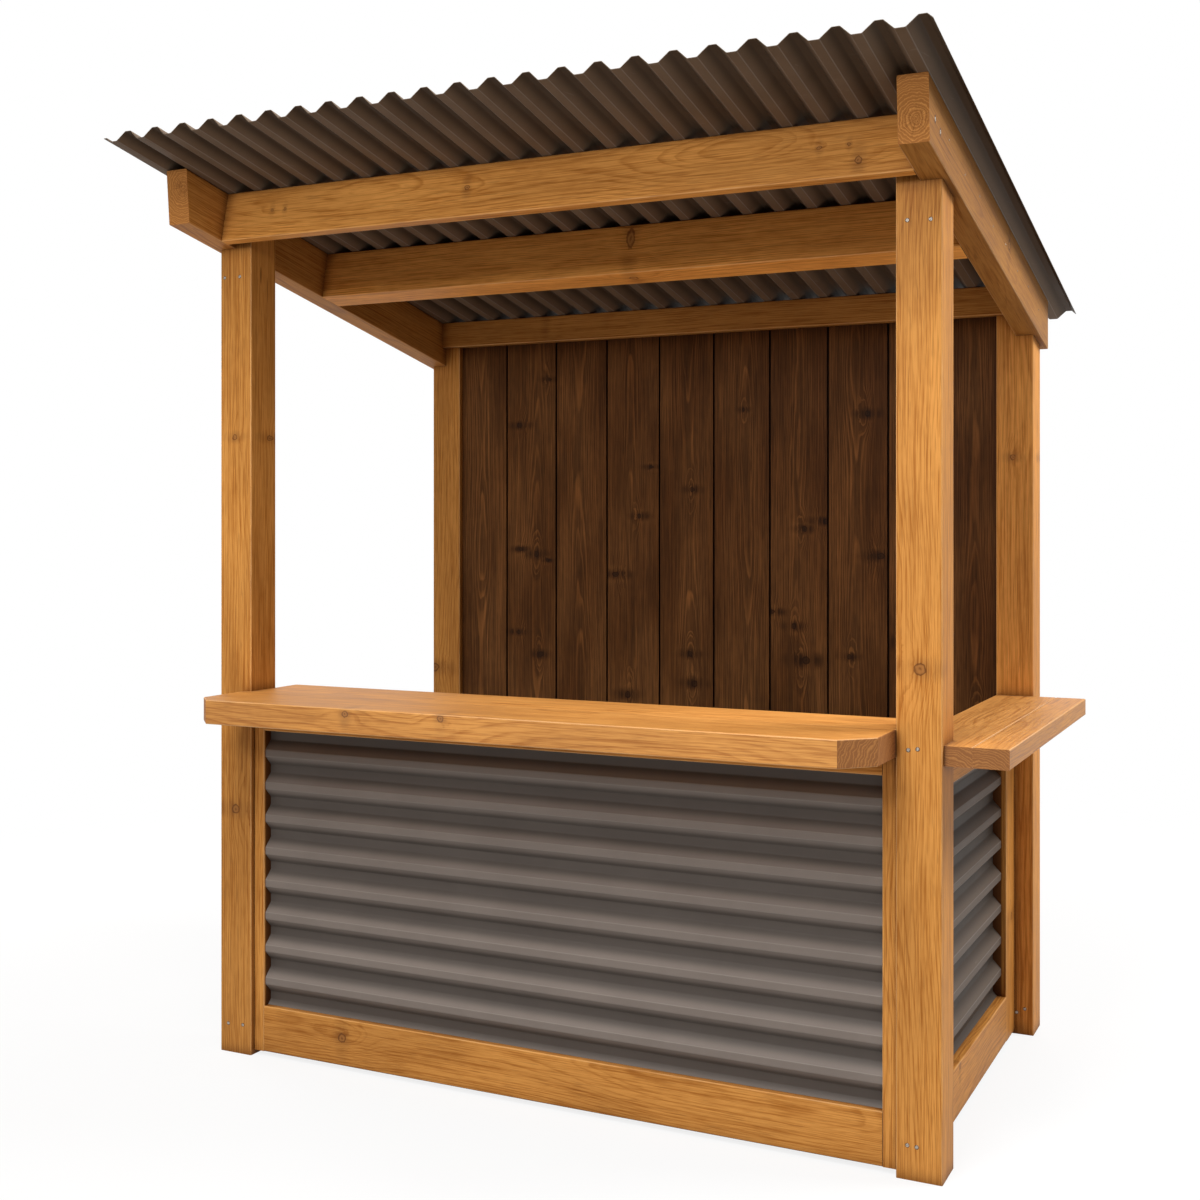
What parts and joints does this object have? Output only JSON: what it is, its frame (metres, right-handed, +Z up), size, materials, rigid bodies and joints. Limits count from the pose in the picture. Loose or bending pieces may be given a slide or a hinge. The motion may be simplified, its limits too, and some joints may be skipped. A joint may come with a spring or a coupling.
{
  "type": "wooden market stall",
  "caption": "Open timber stall with a sloping profiled roof, a serving counter in front and at the right side, ribbed panels below and a boarded back.",
  "frame": {"origin": "middle of the bounding box's footprint, at ground level under the posts", "axes": "+Z up; +X to the customer's right along the front counter; -Y out of the front, toward the customer"},
  "size_m": [2.116, 1.6586, 2.3386],
  "materials": {
    "timber": "stained honey brown, satin",
    "dark_boards": "stained dark brown, satin",
    "sheet_metal": "grey-brown coated sheet, satin",
    "screws": "dulled screw heads"
  },
  "bodies": {
    "root": {"post_front_left": "timber", "post_front_right": "timber", "post_back_left": "timber", "post_back_right": "timber", "rafter_left": "timber", "rafter_right": "timber", "beam_front": "timber", "beam_middle": "timber", "beam_rear": "timber", "counter_front_outer_board": "timber", "counter_front_inner_board": "timber", "counter_side_inner_board": "timber", "counter_side_outer_board": "timber", "front_stile_left": "timber", "front_stile_right": "timber", "front_kick_board": "timber", "front_top_rail": "timber", "side_stile_front": "timber", "side_stile_rear": "timber", "side_kick_board": "timber", "side_top_rail": "timber", "back_rail_low": "timber", "back_rail_middle": "timber", "back_rail_high": "timber", "back_board_01": "dark_boards", "back_board_02": "dark_boards", "back_board_03": "dark_boards", "back_board_04": "dark_boards", "back_board_05": "dark_boards", "back_board_06": "dark_boards", "back_board_07": "dark_boards", "back_board_08": "dark_boards", "back_board_09": "dark_boards", "back_board_10": "dark_boards", "roof_sheet": "sheet_metal", "front_sheet": "sheet_metal", "side_sheet": "sheet_metal"}
  },
  "joints": []
}
